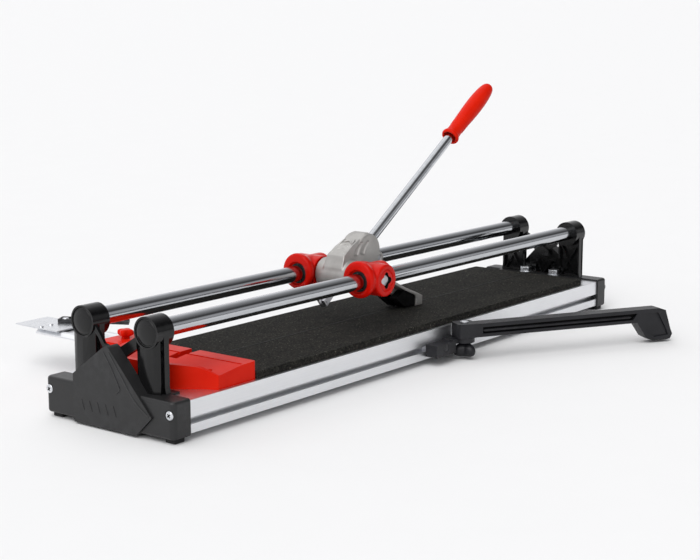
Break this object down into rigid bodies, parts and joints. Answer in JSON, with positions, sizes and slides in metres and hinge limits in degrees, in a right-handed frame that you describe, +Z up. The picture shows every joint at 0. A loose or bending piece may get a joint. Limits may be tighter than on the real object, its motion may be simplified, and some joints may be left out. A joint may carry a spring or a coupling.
{
  "type": "tile cutter",
  "caption": "Manual tile cutter: extruded base with rubber pads, twin guide bars, sliding carriage with scoring and breaking lever, swing arm and side rule.",
  "frame": {"origin": "on the bench plane, midway between the supports' outer faces and between the base's sides", "axes": "+X along the guide bars from the front support to the rear one, +Z up"},
  "size_m": [1.129, 0.7163, 0.416],
  "materials": {
    "aluminium": "satin extruded",
    "dark_steel": "blackened",
    "pad_rubber": "matt, speckled grain",
    "black_casting": "satin black",
    "black_plastic": "satin black moulding",
    "rubber": "matt",
    "zinc": "bright zinc plate",
    "chrome": "polished",
    "red_plastic": "gloss red moulding",
    "bush_plastic": "natural acetal",
    "steel": "ground steel",
    "grey_casting": "satin grey casting"
  },
  "bodies": {
    "base": {"base_profile": "aluminium", "breaking_rib": "dark_steel", "tile_pad_near": "pad_rubber", "tile_pad_far": "pad_rubber", "front_support": "black_casting", "rear_support": "black_casting", "front_cap_near": "black_plastic", "front_cap_far": "black_plastic", "rear_cap_near": "black_plastic", "rear_cap_far": "black_plastic", "support_feet": "rubber", "support_screws": "zinc", "hold_down_washers": "zinc", "hold_down_bolts": "zinc", "guide_bar_near": "chrome", "guide_bar_far": "chrome", "front_stop": "red_plastic", "stop_screws": "zinc", "rule_guide": "red_plastic"},
    "carriage": {"housing_near": "red_plastic", "housing_far": "red_plastic", "bar_bushes": "bush_plastic", "bar_wipers": "rubber", "boss_screws": "zinc", "hub_seals": "rubber", "cross_shaft": "steel"},
    "lever": {"lever_casting": "grey_casting", "pivot_sleeve": "bush_plastic", "handle_rod": "chrome", "hand_grip": "red_plastic", "foot_pin": "steel", "wheel_holder": "steel", "wheel_axle": "steel"},
    "wheel": {"scoring_wheel": "steel"},
    "breaker": {"breaker_foot": "grey_casting"},
    "clamp": {"arm_clamp": "black_plastic", "clamp_nut": "steel", "clamp_bolt": "zinc", "arm_pivot_bolt": "zinc"},
    "arm": {"swing_arm": "black_plastic"},
    "knob": {"wing_knob": "black_plastic"},
    "rule": {"side_rule": "aluminium", "rule_end_plate": "zinc", "rule_rivets": "zinc", "mitre_rivet": "zinc"},
    "mitre": {"mitre_bar": "dark_steel"},
    "rule_knob": {"rule_lock_knob": "red_plastic", "rule_lock_screw": "zinc"}
  },
  "joints": [
    {"name": "carriage_slide", "type": "slide", "parent": "base", "child": "carriage", "axis": [1, 0, 0], "range_m": [-0.4, 0.36]},
    {"name": "lever_hinge", "type": "hinge", "parent": "carriage", "child": "lever", "pos_m": [-0.067, 0, 0.1382], "axis": [0, -1, 0], "range_deg": [0, 68]},
    {"name": "wheel_spin", "type": "hinge", "parent": "lever", "child": "wheel", "pos_m": [-0.11034, 0, 0.10434], "axis": [0, 1, 0], "continuous": true},
    {"name": "breaker_hinge", "type": "hinge", "parent": "lever", "child": "breaker", "pos_m": [0.008, 0, 0.156], "axis": [0, -1, 0], "range_deg": [0, 18]},
    {"name": "clamp_slide", "type": "slide", "parent": "base", "child": "clamp", "axis": [1, 0, 0], "range_m": [-0.5, 0.42]},
    {"name": "arm_swing", "type": "hinge", "parent": "clamp", "child": "arm", "pos_m": [0.068, -0.139, 0.045], "axis": [0, 0, 1], "range_deg": [-115, 30]},
    {"name": "knob_turn", "type": "hinge", "parent": "clamp", "child": "knob", "pos_m": [0.068, -0.139, 0.015], "axis": [0, 0, 1], "continuous": true},
    {"name": "rule_slide", "type": "slide", "parent": "base", "child": "rule", "axis": [0, 1, 0], "range_m": [0, 0.04]},
    {"name": "mitre_swing", "type": "hinge", "parent": "rule", "child": "mitre", "pos_m": [-0.341, 0.325, 0.07], "axis": [0, 0, 1], "range_deg": [-27, 63]},
    {"name": "rule_knob_turn", "type": "hinge", "parent": "base", "child": "rule_knob", "pos_m": [-0.371, 0.162, 0.075], "axis": [0, 0, 1], "continuous": true}
  ]
}
